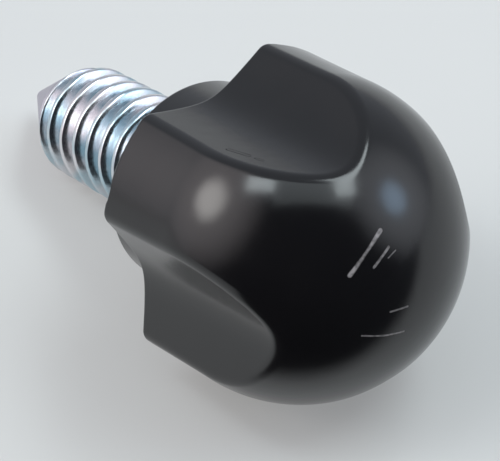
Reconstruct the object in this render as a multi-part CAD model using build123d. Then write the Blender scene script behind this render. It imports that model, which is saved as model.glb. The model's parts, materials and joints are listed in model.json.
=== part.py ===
from build123d import *
import math
import os

# Head: a slightly tapered skirt under a half ball of the same diameter, in millimetres and degrees
head_diameter = 16.5
skirt_height = 5.0
skirt_draft = 1.3

# Flutes: shallow valleys down the side with two flat flanks each, and the lobes left between them
flute_count = 4
flute_depth = 1.85
flute_flank_slope = 18.0
flute_valley_round = 1.2
flute_lean = 2.1
flute_edge_round = 0.2
rim_chamfer = 0.2

# Boss round the stud, standing out of the flat underside
boss_diameter = 10.8
boss_height = 3.7
boss_edge_round = 0.3

# Relief in the boss face, which clears the end of the thread so that the boss seats flat
relief_step = 0.08
relief_depth = 0.3

# Stud outside the boss: a quarter inch coarse thread with a cone point
thread_diameter = 6.35
thread_length = 10.4
point_angle = 60.0
point_nose_radius = 0.4

# Stud inside the plastic: a plain shank, then a ribbed anchor with a groove round it
shank_diameter = 5.7
shank_length = 2.2
anchor_diameter = 7.8
anchor_length = 7.0
anchor_rib_count = 18
anchor_rib_width = 0.9
anchor_groove_diameter = 5.8
anchor_groove_length = 1.6

# Heights along the knob's own axis, where zero is the flat underside of the lobes
boss_face = -boss_height
thread_end = boss_face - thread_length
anchor_bottom = boss_face + shank_length

head_radius = head_diameter / 2
head_top = skirt_height + head_radius
rim_radius = head_radius + skirt_height * math.tan(math.radians(skirt_draft))
flute_floor = head_radius - flute_depth


def head_blank():
    """The head before its flutes, turned from its half section."""
    with BuildPart() as blank:
        with BuildSketch(Plane.XZ):
            with BuildLine():
                Polyline(
                    (0, head_top),
                    (0, 0),
                    (rim_radius - rim_chamfer, 0),
                    (rim_radius, rim_chamfer),
                    (head_radius, skirt_height),
                )
                CenterArc((0, skirt_height), head_radius, 0, 90)
            make_face()
        revolve(axis=Axis.Z)
    return blank.part


def flute_cutter():
    """One leaning wedge with a rounded edge, which dips into the side of the head."""
    reach = head_diameter
    flank_rise = reach * math.tan(math.radians(flute_flank_slope))
    with BuildPart() as wedge:
        with BuildSketch(Plane.XY.offset(-2 * head_top)):
            with BuildLine():
                Polyline(
                    (0, 0),
                    (flank_rise, reach),
                    (2 * reach, reach),
                    (2 * reach, -reach),
                    (flank_rise, -reach),
                    (0, 0),
                )
            make_face()
        extrude(amount=4 * head_top)
        fillet(wedge.edges().filter_by(Axis.Z).sort_by(Axis.X)[0], flute_valley_round)
    return Pos(flute_floor, 0, 0) * Rot(0, -flute_lean, 0) * wedge.part


def fluted_head():
    """The head with its flutes cut and the lips between flutes and lobes softened."""
    head = head_blank()
    for place in PolarLocations(0, flute_count):
        head -= place * flute_cutter()
    underside = head.faces().sort_by(Axis.Z)[0]
    valleys = head.faces().filter_by(GeomType.CYLINDER)
    flanks = head.faces().filter_by(GeomType.PLANE) - ShapeList([underside])
    wall_edges = [edge for face in valleys + flanks for edge in face.edges()]
    lips = [edge for edge in wall_edges if wall_edges.count(edge) == 1 and edge not in underside.edges()]
    return fillet(ShapeList(lips), flute_edge_round)


def boss():
    """The round collar that the stud leaves through, rounded at its outer edge."""
    collar = Pos(0, 0, boss_face) * Cylinder(
        boss_diameter / 2, boss_height, align=(Align.CENTER, Align.CENTER, Align.MIN)
    )
    return fillet(collar.edges().sort_by(Axis.Z)[0], boss_edge_round)


def relief():
    """The shallow ring of room round the stud where it enters the boss."""
    relief_radius = thread_diameter / 2 + relief_step
    return Pos(0, 0, boss_face) * Cylinder(relief_radius, 2 * relief_depth)


def threaded_end():
    """The thread at its full diameter with its cone point, and the shank behind it."""
    thread_radius = thread_diameter / 2
    shank_radius = shank_diameter / 2
    slope = math.radians(point_angle / 2)
    # The nose ball touches the cone at this radius and height
    touch_radius = point_nose_radius * math.cos(slope)
    touch = thread_end - (thread_radius - touch_radius) / math.tan(slope)
    nose_centre = touch + point_nose_radius * math.sin(slope)
    middle_turn = (math.pi / 2 - slope) / 2
    nose_middle = (
        point_nose_radius * math.sin(middle_turn),
        nose_centre - point_nose_radius * math.cos(middle_turn),
    )
    with BuildPart() as end:
        with BuildSketch(Plane.XZ):
            with BuildLine():
                nose = ThreePointArc((0, nose_centre - point_nose_radius), nose_middle, (touch_radius, touch))
                Polyline(
                    nose @ 1,
                    (thread_radius, thread_end),
                    (thread_radius, boss_face),
                    (shank_radius, boss_face),
                    (shank_radius, anchor_bottom),
                    (0, anchor_bottom),
                    nose @ 0,
                )
            make_face()
        revolve(axis=Axis.Z)
    return end.part


def anchor():
    """The ribbed head that the plastic grips, with a groove against pulling out."""
    core_radius = anchor_diameter / 2 - anchor_rib_width / math.sqrt(2)
    with BuildPart() as head:
        with BuildSketch(Plane.XY.offset(anchor_bottom)):
            Circle(core_radius)
            with PolarLocations(core_radius, anchor_rib_count):
                Rectangle(anchor_rib_width, anchor_rib_width, rotation=45)
        extrude(amount=anchor_length)
    around = Cylinder(anchor_diameter, anchor_groove_length)
    neck = Cylinder(anchor_groove_diameter / 2, anchor_groove_length)
    groove_height = anchor_bottom + anchor_length / 2
    return head.part - Pos(0, 0, groove_height) * (around - neck)


def laid(piece, tilt):
    """A piece on its side with a flute facing down and its dome up by the tilt, along +X."""
    return Rot(0, 90 - tilt, 0) * piece


def rest_tilt(body, stud):
    """The tilt in degrees at which the lobes and the end of the thread both touch the floor."""
    low, high = 0.0, 60.0
    while high - low > 0.001:
        tilt = (low + high) / 2
        body_bottom = laid(body, tilt).bounding_box().min.Z
        stud_bottom = laid(stud, tilt).bounding_box().min.Z
        if body_bottom < stud_bottom:
            low = tilt
        else:
            high = tilt
    return tilt


def main():
    stud = threaded_end() + anchor()
    knob_body = fluted_head() + boss() - relief() - stud
    tilt = rest_tilt(knob_body, stud)
    pieces = {"knob_body": laid(knob_body, tilt), "stud": laid(stud, tilt)}

    # The origin is on the floor, under the middle of the whole object
    box = Compound(children=[Part() + piece for piece in pieces.values()]).bounding_box()
    to_floor = Pos(-box.center().X, -box.center().Y, -box.min.Z)
    os.makedirs("parts", exist_ok=True)
    for name, piece in pieces.items():
        placed = to_floor * piece
        placed.label = name
        export_step(placed, f"parts/{name}.step")

    # Where the mounts lie, for whoever fastens this object to another
    seat = to_floor * laid(Location((0, 0, boss_face)), tilt)
    outward = -Plane(seat).z_dir
    print("tilt", round(tilt, 3), "thread starts at", seat.position, "and points along", outward)
    seat_radius = (thread_diameter + boss_diameter) / 4
    print("seat point", (to_floor * laid(Location((0, seat_radius, boss_face)), tilt)).position)


main()
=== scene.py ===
import json
import math

import bmesh
import bpy
import numpy as np
from mathutils import Matrix, Vector

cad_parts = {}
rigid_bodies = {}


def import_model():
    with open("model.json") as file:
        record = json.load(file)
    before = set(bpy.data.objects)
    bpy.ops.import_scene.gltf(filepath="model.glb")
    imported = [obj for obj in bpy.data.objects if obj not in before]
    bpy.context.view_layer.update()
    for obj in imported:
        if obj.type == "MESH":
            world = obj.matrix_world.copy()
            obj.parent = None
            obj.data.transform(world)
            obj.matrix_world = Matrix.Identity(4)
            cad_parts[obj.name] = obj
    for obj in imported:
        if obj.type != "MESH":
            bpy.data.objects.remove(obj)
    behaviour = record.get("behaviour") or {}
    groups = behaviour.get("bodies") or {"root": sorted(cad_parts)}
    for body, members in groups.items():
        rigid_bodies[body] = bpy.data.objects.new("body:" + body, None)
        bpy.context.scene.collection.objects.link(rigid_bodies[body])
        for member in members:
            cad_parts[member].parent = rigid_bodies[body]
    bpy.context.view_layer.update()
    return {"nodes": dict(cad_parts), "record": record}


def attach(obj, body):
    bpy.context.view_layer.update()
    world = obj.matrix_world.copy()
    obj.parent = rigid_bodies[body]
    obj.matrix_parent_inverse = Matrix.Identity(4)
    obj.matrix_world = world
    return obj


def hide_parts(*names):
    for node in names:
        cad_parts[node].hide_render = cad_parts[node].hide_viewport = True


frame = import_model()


# Knob body: one glossy black moulding, with a domed head, four flutes and a boss round the stud.
# It is moulded in a single shot around the stud, and its dome has a few light scratches. Its flutes
# are rounder valleys than the solid's, so this piece stands in for the solid.

# Where the knob lies: its axis comes from the stud's mount. In the knob's own frame, zero is the
# underside of the lobes, x points out of a flute and z points to the dome.
mounts = {mount["name"]: mount for mount in frame["record"]["mounts"]}
thread_mount = mounts["stud_thread"]
thread_length = thread_mount["dims"]["length_mm"] / 1000
thread_radius = thread_mount["dims"]["r_mm"] / 1000
boss_height = 0.0037
dome_way = -Vector(thread_mount["axis"]).normalized()
side_way = Vector((0, 1, 0))
flute_way = side_way.cross(dome_way)
boss_face = Vector(thread_mount["pos_m"]) + dome_way * thread_length / 2
underside = boss_face + dome_way * boss_height
knob_turn = Matrix((flute_way, side_way, dome_way)).transposed().to_4x4()
knob_frame = Matrix.Translation(underside) @ knob_turn


class Value:
    """A node's socket that adds Math nodes when it is used in a Python expression."""

    def __init__(self, nodes, socket):
        self.nodes = nodes
        self.socket = socket

    def math(self, operation, *others):
        sockets = {index + 1: other for index, other in enumerate(others)}
        return self.nodes.node("ShaderNodeMath", {"operation": operation}, {0: self, **sockets})

    def __add__(self, other):
        return self.math("ADD", other)

    def __mul__(self, other):
        return self.math("MULTIPLY", other)

    def __sub__(self, other):
        return self.math("SUBTRACT", other)

    def __rsub__(self, other):
        return (self * -1) + other

    __radd__ = __add__
    __rmul__ = __mul__


class Nodes:
    """A node tree under construction, with one method that adds any node to it."""

    def __init__(self, tree):
        self.tree = tree

    def node(self, kind, settings=None, sockets=None, output=0):
        made = self.tree.nodes.new(kind)
        for name, value in (settings or {}).items():
            setattr(made, name, value)
        for name, value in (sockets or {}).items():
            self.put(made.inputs[name], value)
        return Value(self, made.outputs[output])

    def put(self, socket, value):
        if isinstance(value, Value):
            self.tree.links.new(value.socket, socket)
        else:
            socket.default_value = value

    def vector(self, operation, first, second):
        return self.node("ShaderNodeVectorMath", {"operation": operation}, {0: first, 1: second})

    def dot(self, first, second):
        settings = {"operation": "DOT_PRODUCT"}
        return self.node("ShaderNodeVectorMath", settings, {0: first, 1: second}, output="Value")

    def noise(self, place, scale, detail):
        return self.node("ShaderNodeTexNoise", sockets={"Vector": place, "Scale": scale, "Detail": detail})

    def spread(self, value, low, high, to_low=0.0, to_high=1.0, smooth=False):
        span = {"From Min": low, "From Max": high, "To Min": to_low, "To Max": to_high}
        shape = "SMOOTHSTEP" if smooth else "LINEAR"
        return self.node("ShaderNodeMapRange", {"interpolation_type": shape}, {"Value": value, **span})

    def mix(self, share, first, second):
        made = self.tree.nodes.new("ShaderNodeMix")
        made.data_type = "RGBA"
        self.put(made.inputs["Factor"], share)
        # A Mix node's inputs 6 and 7 and its output 2 are its colours
        self.put(made.inputs[6], first)
        self.put(made.inputs[7], second)
        return Value(self, made.outputs[2])


class Finish(Nodes):
    """A material under construction, round its Principled shader."""

    def __init__(self, name, **constants):
        self.material = bpy.data.materials.new(name)
        self.material.use_nodes = True
        super().__init__(self.material.node_tree)
        self.shader = self.tree.nodes["Principled BSDF"]
        self.wear(**constants)

    def place(self):
        return self.node("ShaderNodeTexCoord", output="Object")

    def bump(self, height, depth):
        return self.node("ShaderNodeBump", sockets={"Height": height, "Distance": depth, "Strength": 1.0})

    def wear(self, **channels):
        for name, value in channels.items():
            self.put(self.shader.inputs[name.replace("_", " ")], value)


def along_line(finish, place, start, end, half_width):
    """A mask that is 1 on the straight line between two points of the knob, and 0 away from it."""
    first_end = knob_frame @ Vector(start)
    run = knob_frame @ Vector(end) - first_end
    from_start = finish.vector("SUBTRACT", place, first_end)
    share = finish.dot(from_start, run / run.length ** 2)
    share = share.math("MAXIMUM", 0.0).math("MINIMUM", 1.0)
    on_line = finish.node("ShaderNodeVectorMath", {"operation": "SCALE"}, {0: run, "Scale": share})
    aside = finish.vector("SUBTRACT", from_start, on_line)
    distance = finish.node("ShaderNodeVectorMath", {"operation": "LENGTH"}, {0: aside}, output="Value")
    full_width = 0.6 * half_width
    return finish.spread(distance, full_width, half_width, 1.0, 0.0)


# Scratches on the dome: start and end in the knob's own frame and half the width, in metres, and weight
scratches = [
    ((-0.00233, -0.00241, 0.01254), (-0.00348, -0.00020, 0.01248), 0.00013, 1.0),
    ((-0.00219, -0.00125, 0.01285), (-0.00267, -0.00018, 0.01280), 0.00008, 0.7),
    ((-0.00225, -0.00042, 0.01293), (-0.00237, 0.00008, 0.01290), 0.00004, 0.5),
    ((0.00030, -0.00117, 0.01316), (0.00056, -0.00023, 0.01323), 0.00006, 0.5),
    ((0.00089, -0.00272, 0.01274), (0.00148, -0.00166, 0.01294), 0.00006, 0.6),
    ((0.00148, -0.00166, 0.01294), (0.00188, -0.00063, 0.01301), 0.00006, 0.7),
]
# Two small dents in a flute, given in the same way but without a weight
dents = [
    ((-0.00697, -0.00285, 0.00562), (-0.00679, -0.00248, 0.00664), 0.00013),
    ((-0.00674, -0.00238, 0.00710), (-0.00669, -0.00228, 0.00743), 0.00010),
]
darkest_black = (0.0040, 0.0040, 0.0048, 1)
palest_black = (0.0070, 0.0066, 0.0074, 1)
scratch_grey = (0.34, 0.31, 0.31, 1)
smoothest_black = 0.14
roughest_black = 0.20
scratch_roughness = 0.4
cloud_scale = 260
cloud_range = (0.3, 0.7)
ripple_scale = 2600
scratch_break_scale = 5200
scratch_break_range = (0.35, 0.6)
faintest_scratch = 0.45
# How deep the plastic's clouds lie, in metres, and how deep the rest lies as a share of that
cloud_depth = 0.00002
ripple_share = 0.04
scratch_share = 0.3
dent_share = 2.5

plastic = Finish("black_moulded_plastic", Specular_IOR_Level=0.5, IOR=1.52)
place = plastic.place()
cloudy = plastic.noise(place, cloud_scale, 3)
rippled = plastic.noise(place, ripple_scale, 2)
scuffed = None
for start, end, half_width, weight in scratches:
    line = along_line(plastic, place, start, end, half_width) * weight
    scuffed = line if scuffed is None else scuffed.math("MAXIMUM", line)
broken = plastic.spread(plastic.noise(place, scratch_break_scale, 4), *scratch_break_range)
scuffed = scuffed * (faintest_scratch + (1 - faintest_scratch) * broken)
dented = sum(along_line(plastic, place, *dent) for dent in dents)
black = plastic.mix(cloudy, darkest_black, palest_black)
height = cloudy + ripple_share * rippled - scratch_share * scuffed - dent_share * dented
roughness = plastic.spread(cloudy, *cloud_range, smoothest_black, roughest_black)
plastic.wear(
    Base_Color=plastic.mix(scuffed, black, scratch_grey),
    Roughness=roughness + scratch_roughness * scuffed,
    Normal=plastic.bump(height, cloud_depth),
)

# The moulding's sizes in millimetres, in the knob's own frame
head_radius = 8.25
skirt_height = 5.0
skirt_draft = math.tan(math.radians(1.3))
draft_ease = 1.0
flute_floor = 6.38
flute_lean = math.tan(math.radians(2.1))
flank_slope = 0.42
valley_round = 0.5
lip_round = 0.26
rim_round = 0.22
boss_radius = 5.4
boss_bottom = -1000 * boss_height
boss_edge_round = 0.3
boss_root_round = 0.15
relief_radius = 3.255
relief_depth = 0.3
bore_radius = 2.85
pocket_radius = 3.9
pocket_bottom = boss_bottom + 2.2
pocket_top = pocket_bottom + 7.0

# How many lines of points each part of its mesh has, how they crowd towards the rim and the lips, and
# how the rows bend on their way up
lines_up = 96
lines_across = 26
lines_underneath = 14
root_lines = 6
edge_lines = 8
crowding_at_rim = 1.5
crowding_at_lip = 1.6
crowding_underneath = 2.2
row_end_gap = 0.25
flute_row_bend = 4
lobe_row_bend = 3
merge_distance = 4e-7


def rounded_meeting(first, second, edge_round):
    """Distance from the form that two forms share, with a round edge where their skins meet."""
    past_first = np.maximum(first + edge_round, 0)
    past_second = np.maximum(second + edge_round, 0)
    return np.minimum(-edge_round, np.maximum(first, second)) + np.hypot(past_first, past_second)


def flute_wall(aside, height):
    """How far a flute's wall is from the knob's axis."""
    valley = np.hypot(valley_round, flank_slope * aside) - valley_round
    return flute_floor + valley - flute_lean * height


def distance_from_skin(points):
    """Distance from the moulding's skin, from the middle of a flute to the middle of the next lobe."""
    x, y, z = np.moveaxis(points, -1, 0)
    below = np.maximum(skirt_height - z, 0)
    above = np.maximum(z - skirt_height, 0)
    flare = skirt_draft * below ** 2 / (below + draft_ease)
    head = np.hypot(np.hypot(x, y), above) - head_radius - flare
    flank = flank_slope ** 2 * y / np.hypot(valley_round, flank_slope * y)
    flute = (x - flute_wall(y, z)) / np.hypot(1, flank)
    return rounded_meeting(rounded_meeting(head, flute, lip_round), -z, rim_round)


def drawn_onto_skin(points, steps=6, probe=1e-4):
    """The same points, each moved straight onto the moulding's skin."""
    for _ in range(steps):
        away = distance_from_skin(points)
        slope = [(distance_from_skin(points + probe * axis) - away) / probe for axis in np.eye(3)]
        slope = np.stack(slope, axis=-1)
        points = points - (away / np.sum(slope ** 2, axis=-1))[..., None] * slope
    return points


def rolled_onto_head(flat):
    """Points of the plain head, from its skin rolled out flat with the dome's top in the middle."""
    run = np.hypot(flat[..., 0], flat[..., 1])
    arc = np.minimum(run / head_radius, math.pi / 2)
    height = skirt_height + head_radius * np.cos(arc) - np.maximum(run - head_radius * math.pi / 2, 0)
    sideways = flat / np.maximum(run, 1e-9)[..., None] * (head_radius * np.sin(arc))[..., None]
    return np.concatenate([sideways, height[..., None]], axis=-1)


def halved(low, high, is_low, halvings=50):
    """The value between two limits at which a test stops holding, by halving."""
    for _ in range(halvings):
        middle = (low + high) / 2
        low, high = (middle, high) if is_low(middle) else (low, middle)
    return low


def plain_radius(height):
    """The radius of the head without its draft, at a height."""
    return math.sqrt(head_radius ** 2 - max(height - skirt_height, 0) ** 2)


# A flute's lip, as points aside and up, from the rim to where the flute runs out in the dome
lip_samples = 500
flute_end = halved(skirt_height, skirt_height + head_radius, lambda z: flute_wall(0, z) < plain_radius(z))
lip = []
for share in np.sin(np.linspace(0, math.pi / 2, lip_samples)):
    height = flute_end * share
    aside = halved(0, flute_floor, lambda y: math.hypot(flute_wall(y, height), y) < plain_radius(height))
    lip.append((aside, height))
lip = np.array(lip)
lip_run = np.concatenate([[0], np.cumsum(np.hypot(*np.diff(lip, axis=0).T))])
lip_length = lip_run[-1]
rows = np.linspace(0, 1, lines_up) ** crowding_at_rim
lip = np.stack([np.interp(rows * lip_length, lip_run, lip[:, axis]) for axis in (0, 1)], axis=-1)
lip_aside, lip_height = lip.T
from_lip = np.linspace(0, 1, lines_across) ** crowding_at_lip

# From the middle of the flute to its lip, in rows that turn up at the flute's end
middle_height = lip_height - row_end_gap * flute_end * (lip_height / flute_end) ** flute_row_bend
middle = np.stack([0 * rows, middle_height], axis=-1)
aside, height = np.moveaxis(lip[:, None] + (middle - lip)[:, None] * from_lip[::-1, None], -1, 0)
flute_patch = np.stack([flute_wall(aside, height), aside, height], axis=-1)

# From the lip to the middle of the lobe, in rows that turn up to the dome's top
head_run = skirt_height + head_radius * math.pi / 2
lip_arc = head_radius * np.arccos(np.clip((lip_height - skirt_height) / head_radius, 0, 1))
lip_out = lip_arc + np.maximum(skirt_height - lip_height, 0)
lip_turn = np.arctan2(lip_aside, flute_wall(lip_aside, lip_height))
lip_flat = lip_out[:, None] * np.stack([np.cos(lip_turn), np.sin(lip_turn)], axis=-1)
lobe_out = head_run - rows * lip_length - (head_run - lip_length) * rows ** lobe_row_bend
lobe_flat = lobe_out[:, None] * np.full(2, math.sqrt(0.5))
lobe_patch = rolled_onto_head(lip_flat[:, None] + (lobe_flat - lip_flat)[:, None] * from_lip[1:, None])
plain_side = np.concatenate([flute_patch, lobe_patch], axis=1)
side = drawn_onto_skin(plain_side)

# Underneath: from the rim in to the boss, down its side, in to the stud, and up its bore and pocket
rim = plain_side[0]
rim_turn = np.arctan2(rim[:, 1], rim[:, 0])
outward = np.stack([np.cos(rim_turn), np.sin(rim_turn), 0 * rim_turn], axis=-1)
upward = np.array([0, 0, 1])
inward_share = (np.linspace(0, 1, lines_underneath) ** crowding_underneath)[1:-1, None, None]
boss_root = outward * (boss_radius + boss_root_round)
under = drawn_onto_skin(rim + (boss_root - rim) * inward_share)
turned = []
for turn in np.linspace(0, math.pi / 2, root_lines):
    radius = boss_radius + boss_root_round * (1 - math.sin(turn))
    turned.append((radius, boss_root_round * (math.cos(turn) - 1)))
for turn in np.linspace(0, math.pi / 2, edge_lines):
    radius = boss_radius - boss_edge_round * (1 - math.cos(turn))
    turned.append((radius, boss_bottom + boss_edge_round * (1 - math.sin(turn))))
turned += [(relief_radius, boss_bottom), (relief_radius, boss_bottom + relief_depth)]
turned += [(bore_radius, boss_bottom + relief_depth), (bore_radius, pocket_bottom)]
turned += [(pocket_radius, pocket_bottom), (pocket_radius, pocket_top), (0, pocket_top)]
inside = np.array([outward * radius + upward * height for radius, height in turned])
eighth = np.concatenate([inside[::-1], under[::-1], side])

# The whole moulding is that eighth, mirrored and then turned to each of the four flutes
mesh_rows, mesh_columns = eighth.shape[:2]
corner = np.arange(mesh_rows * mesh_columns).reshape(mesh_rows, mesh_columns)
quads = np.stack([corner[:-1, :-1], corner[:-1, 1:], corner[1:, 1:], corner[1:, :-1]], axis=-1)
quads = quads.reshape(-1, 4)
eighth_points = eighth.reshape(-1, 3) / 1000
moulding_shape = bmesh.new()
for quarter in range(4):
    for mirror in (1, -1):
        spin = Matrix.Rotation(quarter * math.pi / 2, 4, "Z") @ Matrix.Diagonal((1, mirror, 1, 1))
        vertices = [moulding_shape.verts.new(knob_frame @ spin @ Vector(point)) for point in eighth_points]
        for quad in quads[:, ::mirror]:
            moulding_shape.faces.new([vertices[index] for index in quad])
bmesh.ops.remove_doubles(moulding_shape, verts=moulding_shape.verts, dist=merge_distance)


def closed_piece(name, shape, material, sharp_degrees):
    """An object from a closed shape, smooth but for the edges that turn by more than an angle."""
    bmesh.ops.recalc_face_normals(shape, faces=shape.faces)
    mesh = bpy.data.meshes.new(name)
    shape.to_mesh(mesh)
    shape.free()
    mesh.shade_smooth()
    mesh.set_sharp_from_angle(angle=math.radians(sharp_degrees))
    mesh.materials.append(material)
    piece = bpy.data.objects.new(name, mesh)
    bpy.context.collection.objects.link(piece)
    return piece


knob_moulding = closed_piece("knob_moulding", moulding_shape, plastic.material, sharp_degrees=50)
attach(knob_moulding, "root")
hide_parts("knob_body")


# Thread and cone point: turned steel, with the thread rolled between dies and bright zinc plating on
# it. The thread winds right-handed from the boss and runs out into the plain cone.
thread_pitch = 0.00127
thread_depth = 0.00074
thread_phase = 0.3
# On the way from a crest, at 0, to a root, at 1, the crest ends and the root starts here
crest_ends = 0.15
root_starts = 0.87
cone_half_angle = math.radians(30)
nose_radius = 0.0004
bury = 0.00028
points_around = 112
points_along = 420

nose_length = nose_radius * (1 - math.sin(cone_half_angle))
cone_length = (thread_radius - nose_radius * math.cos(cone_half_angle)) / math.tan(cone_half_angle)
stud_length = bury + thread_length + cone_length + nose_length


class Grower(Nodes):
    """A Geometry Nodes tree with named inputs, which gives back a plain mesh in the knob's frame."""

    def __init__(self, name, inputs):
        super().__init__(bpy.data.node_groups.new(name, "GeometryNodeTree"))
        self.tree.interface.new_socket("Geometry", in_out="OUTPUT", socket_type="NodeSocketGeometry")
        self.values = inputs
        self.ids = {}
        for title, value in inputs.items():
            kind = "NodeSocketInt" if isinstance(value, int) else "NodeSocketFloat"
            socket = self.tree.interface.new_socket(title, in_out="INPUT", socket_type=kind)
            self.ids[title] = socket.identifier
        self.entry = self.tree.nodes.new("NodeGroupInput")

    def __getitem__(self, title):
        return Value(self, self.entry.outputs[title])

    def grown(self, name, geometry, material):
        """Runs the tree and returns its result as an object with a plain mesh, set in the knob's frame."""
        whole = self.node("GeometryNodeRealizeInstances", sockets={"Geometry": geometry})
        painted = self.node("GeometryNodeSetMaterial", sockets={"Geometry": whole, "Material": material})
        exit_node = self.tree.nodes.new("NodeGroupOutput")
        self.put(exit_node.inputs["Geometry"], painted)
        host = bpy.data.objects.new(name + "_host", bpy.data.meshes.new(name + "_host"))
        bpy.context.collection.objects.link(host)
        modifier = host.modifiers.new("grow", "NODES")
        modifier.node_group = self.tree
        for title, value in self.values.items():
            modifier[self.ids[title]] = value
        evaluated = host.evaluated_get(bpy.context.evaluated_depsgraph_get())
        mesh = bpy.data.meshes.new_from_object(evaluated)
        bpy.data.objects.remove(host)
        mesh.name = name
        mesh.transform(knob_frame)
        piece = bpy.data.objects.new(name, mesh)
        bpy.context.collection.objects.link(piece)
        return piece


blue_zinc = (0.48, 0.61, 0.68, 1)
pale_zinc = (0.74, 0.73, 0.76, 1)
dull_zinc = (0.46, 0.44, 0.50, 1)
smoothest_zinc = 0.16
roughest_zinc = 0.26
zinc_patch_scale = 520
zinc_patch_range = (0.38, 0.56)
zinc_grain_scale = 5200
zinc_grain_range = (0.5, 1.0)
zinc_grain_depth = 0.000004
# How far past the thread's end the cone starts to dull and is dull, in metres, and how much rougher it is
dulling_starts = 0.0002
dulling_ends = 0.0007
cone_roughness = 0.25

zinc = Finish("bright_zinc_plate", Metallic=1.0, Specular_IOR_Level=0.5)
place = zinc.place()
patchy = zinc.noise(place, zinc_patch_scale, 2)
grainy = zinc.noise(place, zinc_grain_scale, 3)
bright = zinc.mix(zinc.spread(patchy, *zinc_patch_range), blue_zinc, pale_zinc)
# The cone is duller than the thread, because the dies never touched it
beyond_face = zinc.dot(zinc.vector("SUBTRACT", place, boss_face), -dome_way)
dull = zinc.spread(beyond_face, thread_length + dulling_starts, thread_length + dulling_ends)
roughness = zinc.spread(grainy + 0.5 * patchy, *zinc_grain_range, smoothest_zinc, roughest_zinc)
zinc.wear(
    Base_Color=zinc.mix(dull, bright, dull_zinc),
    Roughness=roughness + cone_roughness * dull,
    Normal=zinc.bump(grainy, zinc_grain_depth),
)

sizes = {
    "Around": points_around,
    "Along": points_along,
    "Length": stud_length,
    "Radius": thread_radius,
    "Bury": bury,
    "Pitch": thread_pitch,
    "Depth": thread_depth,
    "Phase": thread_phase,
    "Nose radius": nose_radius,
}
thread = Grower("rolled_thread", sizes)
bar_sizes = {
    "Vertices": thread["Around"],
    "Side Segments": thread["Along"],
    "Radius": 1.0,
    "Depth": thread["Length"],
}
bar = thread.node("GeometryNodeMeshCylinder", {"fill_type": "TRIANGLE_FAN"}, bar_sizes, output="Mesh")
position = thread.node("GeometryNodeInputPosition")
x, y, z = [thread.node("ShaderNodeSeparateXYZ", sockets={0: position}, output=axis) for axis in "XYZ"]
turn = y.math("ARCTAN2", x)
# How far out of the boss face each point is, and how far it has still to go to the tip
out = thread["Length"] * 0.5 - z - thread["Bury"]
to_tip = z + thread["Length"] * 0.5
# The cone touches the ball of its nose, so level with the tip it still has some of the ball's radius
share_at_tip = 1 / math.cos(cone_half_angle) - math.tan(cone_half_angle)
cone = to_tip * math.tan(cone_half_angle) + thread["Nose radius"] * share_at_tip
nose = (to_tip * (2 * thread["Nose radius"] - to_tip)).math("MAXIMUM", 0.0).math("SQRT")
in_nose = to_tip.math("LESS_THAN", nose_length)
tip = cone * (1 - in_nose) + nose * in_nose
# The groove's depth goes from 0 at a crest to 1 at a root, once round for each pitch
wave = out.math("DIVIDE", thread["Pitch"]) + turn * (1 / (2 * math.pi)) + thread["Phase"]
from_crest = wave.math("FRACT").math("PINGPONG", 0.5) * -2 + 1
groove = thread.spread(from_crest, crest_ends, root_starts, smooth=True) * thread["Depth"]
radius = tip.math("MINIMUM", thread["Radius"]).math("MINIMUM", thread["Radius"] - groove)
# The middle points of the bar's two ends stay on its axis
on_side = (x * x + y * y).math("GREATER_THAN", 0.5)
radius = radius * on_side
spot_parts = {
    "X": turn.math("COSINE") * radius,
    "Y": turn.math("SINE") * radius,
    "Z": out * -1 - boss_height,
}
spot = thread.node("ShaderNodeCombineXYZ", sockets=spot_parts)
shaped = thread.node("GeometryNodeSetPosition", sockets={"Geometry": bar, "Position": spot})
smooth = thread.node("GeometryNodeSetShadeSmooth", sockets={"Geometry": shaped})
stud_thread = thread.grown("stud_thread", smooth, zinc.material)
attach(stud_thread, "root")
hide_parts("stud")


# Anchor: the stud's other end, which the plastic grips by its ribs and its groove. It is turned and
# knurled from the same bar, plated with it, and hidden inside the moulding. It is the solid's own shape.
anchor_merge_distance = 1e-7
stud_node = frame["nodes"]["stud"]
anchor_shape = bmesh.new()
anchor_shape.from_mesh(stud_node.data)
anchor_shape.transform(stud_node.matrix_world)
bmesh.ops.remove_doubles(anchor_shape, verts=anchor_shape.verts, dist=anchor_merge_distance)
# Cut off where the threaded piece ends inside the boss, and closed there
cut = bmesh.ops.bisect_plane(
    anchor_shape,
    geom=[*anchor_shape.verts, *anchor_shape.edges, *anchor_shape.faces],
    plane_co=boss_face + dome_way * bury,
    plane_no=dome_way,
    clear_inner=True,
)
cut_edges = [element for element in cut["geom_cut"] if isinstance(element, bmesh.types.BMEdge)]
bmesh.ops.contextual_create(anchor_shape, geom=cut_edges)
stud_anchor = closed_piece("stud_anchor", anchor_shape, zinc.material, sharp_degrees=30)
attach(stud_anchor, "root")
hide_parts("stud")


# Floor and light: a plain pale floor under two bright ceiling lights and a dim one, with two soft
# lamps in a room that is pale behind the knob and dim in front of it. None of it is part of the object.
floor_tone = (0.455, 0.462, 0.458, 1)
floor_glow = (0.203, 0.203, 0.199, 1)
floor_shade = (0.01, 0.01, 0.012, 1)
no_glow = (0.0, 0.0, 0.0, 1)
floor_reach = 3.0
floor_mesh = bpy.data.meshes.new("floor")
corners = [(-1, -1), (1, -1), (1, 1), (-1, 1)]
floor_mesh.from_pydata([(x * floor_reach, y * floor_reach, 0) for x, y in corners], [], [(0, 1, 2, 3)])
floor = bpy.data.objects.new("floor", floor_mesh)
bpy.context.collection.objects.link(floor)
pale = Finish("pale_floor", Roughness=0.7, Specular_IOR_Level=0.2, Emission_Strength=1.0)
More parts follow.
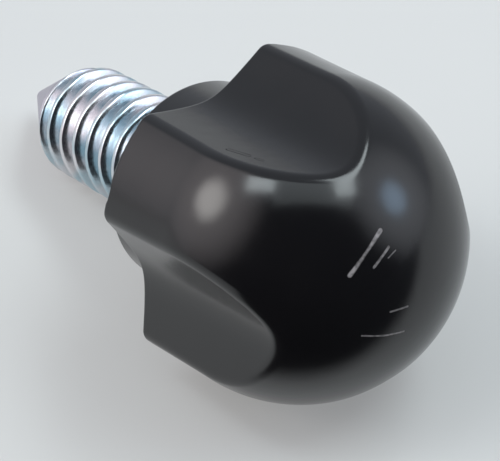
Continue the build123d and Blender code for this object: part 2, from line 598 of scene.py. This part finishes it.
# In what the knob mirrors, the floor in front of it has painted shade: two ways, each with start and full
# shade
shade_starts = {(0.709, -0.706, 0): (0.0150, 0.0210), (0.985, 0.176, 0): (0.003, 0.008)}
shaded = pale.node("ShaderNodeLightPath", output="Is Glossy Ray")
for way, (start, full) in shade_starts.items():
    shaded = shaded * pale.spread(pale.dot(pale.place(), way), start, full, smooth=True)
pale.wear(
    Base_Color=pale.mix(shaded, floor_tone, floor_shade),
    Emission_Color=pale.mix(shaded, floor_glow, no_glow),
)
floor_mesh.materials.append(pale.material)

# Ceiling lights: middle, turn in degrees, length and width in metres, and level
ceiling_height = 0.30
ceiling_colour = (0.90, 1.0, 1.03)
ceiling_lights = {
    "near_light": ((0.058, 0.142), -23, 0.26, 0.085, 6.5),
    "far_light": ((-0.052, -0.112), 34, 0.11, 0.06, 6.8),
    "dim_light": ((0.094, 0.014), 49.4, 0.30, 0.12, 1.0),
}
for name, (middle, turn, long, wide, level) in ceiling_lights.items():
    lamp_data = bpy.data.lights.new(name, "AREA")
    lamp_data.shape = "RECTANGLE"
    lamp_data.size = long
    lamp_data.size_y = wide
    lamp_data.energy = level * math.pi * long * wide
    lamp_data.color = ceiling_colour
    lamp = bpy.data.objects.new(name, lamp_data)
    lamp_turn = Matrix.Rotation(math.radians(turn), 4, "Z")
    lamp.matrix_world = Matrix.Translation((*middle, ceiling_height)) @ lamp_turn
    bpy.context.collection.objects.link(lamp)

# Soft lamps: turn from +X and height in degrees, core and halo in degrees, and the levels of both
soft_lamps = {
    "warm": (230, 33, 15, 44, (6.2, 6.0, 5.9, 1), (1.65, 1.55, 1.6, 1)),
    "cool": (52, 27, 12, 36, (2.9, 3.8, 4.9, 1), (1.3, 1.35, 1.45, 1)),
}
# The room is dim round the direction of the front, where the nearness to it is past this range
front_turn = -45
front_range = (0.12, 0.38)
dim_room = (0.025, 0.025, 0.03, 1)
pale_room = (0.44, 0.47, 0.52, 1)
backdrop = (0.70, 0.75, 0.77, 1)

room_world = bpy.data.worlds.new("room")
bpy.context.scene.world = room_world
room_world.use_nodes = True
room = Nodes(room_world.node_tree)
looked_way = room.node("ShaderNodeTexCoord", output="Generated")


def nearness(turn, height):
    """How near the looked-at direction is to a given one: 1 straight at it, 0 square to it."""
    turn = math.radians(turn)
    height = math.radians(height)
    level = math.cos(height)
    return room.dot(looked_way, (math.cos(turn) * level, math.sin(turn) * level, math.sin(height)))


pale_share = room.spread(nearness(front_turn, 0), *front_range, 1.0, 0.0, smooth=True)
glow = room.mix(pale_share, dim_room, pale_room)
for turn, height, core, halo, core_level, halo_level in soft_lamps.values():
    near = nearness(turn, height)
    halo_edge, core_edge, core_full = [math.cos(math.radians(reach)) for reach in (halo, core, core / 4)]
    glow = room.mix(room.spread(near, halo_edge, 1.0, smooth=True), glow, halo_level)
    glow = room.mix(room.spread(near, core_edge, core_full, smooth=True), glow, core_level)
# The camera itself sees a plain pale backdrop past the floor's far edge
looked_at = room.node("ShaderNodeLightPath", output="Is Camera Ray")
glow = room.mix(looked_at, glow, backdrop)
room.put(room_world.node_tree.nodes["Background"].inputs["Color"], glow)

# Camera: close above the knob, with the stud away to the left
eye = Vector((0.06454, -0.04509, 0.08852))
aimed_at = Vector((0.00378, -0.0003, 0.00618))
roll = math.radians(4.19)
view_width = math.radians(12.884)
sensor_width = 36
camera_data = bpy.data.cameras.new("camera")
camera_data.sensor_width = sensor_width
camera_data.lens = sensor_width / 2 / math.tan(view_width / 2)
camera_data.clip_start = 0.001
camera = bpy.data.objects.new("camera", camera_data)
look = (aimed_at - eye).to_track_quat("-Z", "Y").to_matrix().to_4x4()
camera.matrix_world = Matrix.Translation(eye) @ look @ Matrix.Rotation(-roll, 4, "Z")
bpy.context.collection.objects.link(camera)
bpy.context.scene.camera = camera
bpy.context.scene.view_settings.view_transform = "Standard"
